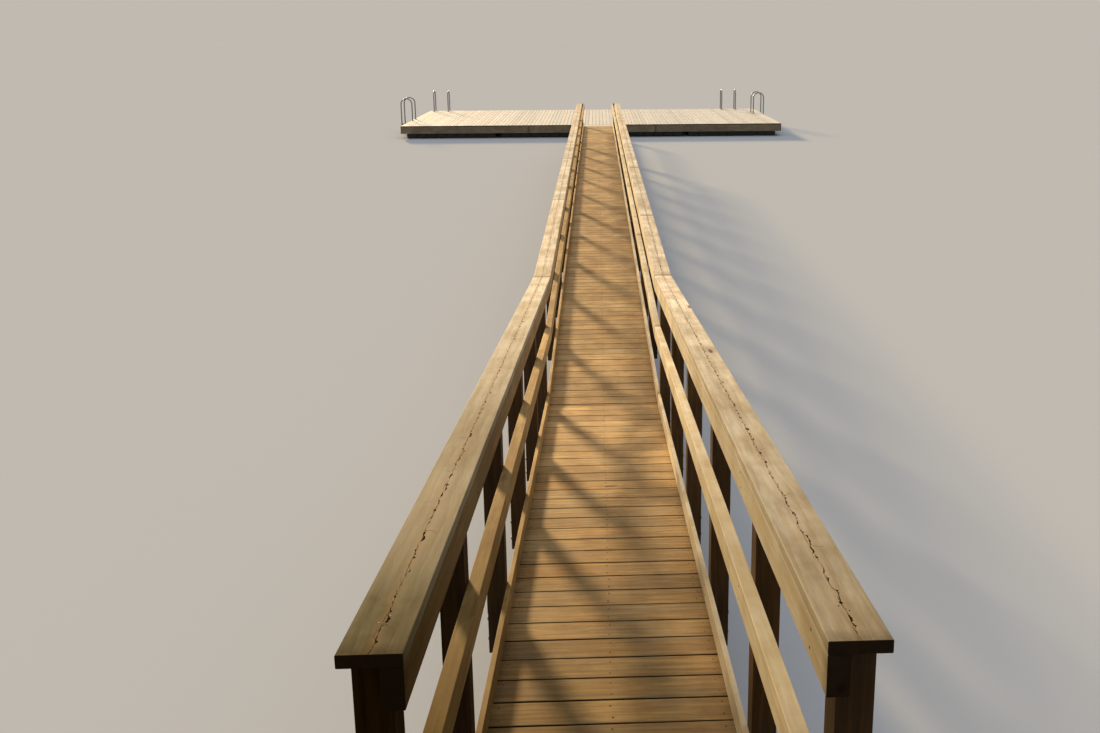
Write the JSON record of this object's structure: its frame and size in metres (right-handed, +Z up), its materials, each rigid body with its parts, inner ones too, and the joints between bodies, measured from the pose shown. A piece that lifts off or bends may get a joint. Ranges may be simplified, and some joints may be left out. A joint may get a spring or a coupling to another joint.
{
  "type": "wooden jetty",
  "caption": "Timber jetty: a railed ramp down from the bank, a railed walkway on piles, a low-railed gangway and a floating swimming platform with hooped steel ladders.",
  "frame": {"origin": "on the water line, at the foot of the middle pile where the ramp meets the level walkway", "axes": "+Y out over the water along the walkway, +X to the right seen from the bank, +Z up"},
  "size_m": [12.877, 33.392, 2.36],
  "materials": {
    "deck_boards": "weathered",
    "platform_boards": "bleached",
    "dark_boards": "damp",
    "frame_timber": "sawn",
    "cap_boards": "weathered",
    "rail_boards": "planed",
    "post_timber": "planed",
    "float_plastic": "matt",
    "steel_tube": "brushed"
  },
  "bodies": {
    "root": {"ramp_deck": "deck_boards", "ramp_stringers": "frame_timber", "walkway_deck_near": "deck_boards", "walkway_deck_far": "deck_boards", "walkway_stringers_near": "frame_timber", "walkway_stringers_far": "frame_timber", "gangway_deck": "deck_boards", "gangway_stringers": "frame_timber", "gangway_posts": "post_timber", "gangway_mid_rails": "rail_boards", "gangway_kick_rails": "rail_boards", "transition_plate": "deck_boards", "ramp_posts_left": "post_timber", "ramp_posts_right": "post_timber", "walkway_posts_left": "post_timber", "walkway_posts_right": "post_timber", "ramp_cap_left": "cap_boards", "ramp_cap_right": "cap_boards", "walkway_cap_left": "cap_boards", "walkway_cap_right": "cap_boards", "ramp_top_rail_left": "rail_boards", "ramp_top_rail_right": "rail_boards", "walkway_top_rail_left": "rail_boards", "walkway_top_rail_right": "rail_boards", "ramp_mid_rail_left": "rail_boards", "ramp_mid_rail_right": "rail_boards", "walkway_mid_rail_left": "rail_boards", "walkway_mid_rail_right": "rail_boards", "ramp_kick_rails": "rail_boards", "walkway_kick_rails": "rail_boards", "crossheads": "frame_timber", "piles": "frame_timber", "shore_legs": "frame_timber", "platform_deck": "platform_boards", "platform_edge_boards": "dark_boards", "platform_fascias_long": "dark_boards", "platform_fascias_short": "dark_boards", "platform_joists": "frame_timber", "floats": "float_plastic", "ladder_front_left": "steel_tube", "ladder_back_left": "steel_tube", "ladder_right": "steel_tube", "ladder_back_right": "steel_tube", "ladder_treads": "steel_tube"}
  },
  "joints": []
}
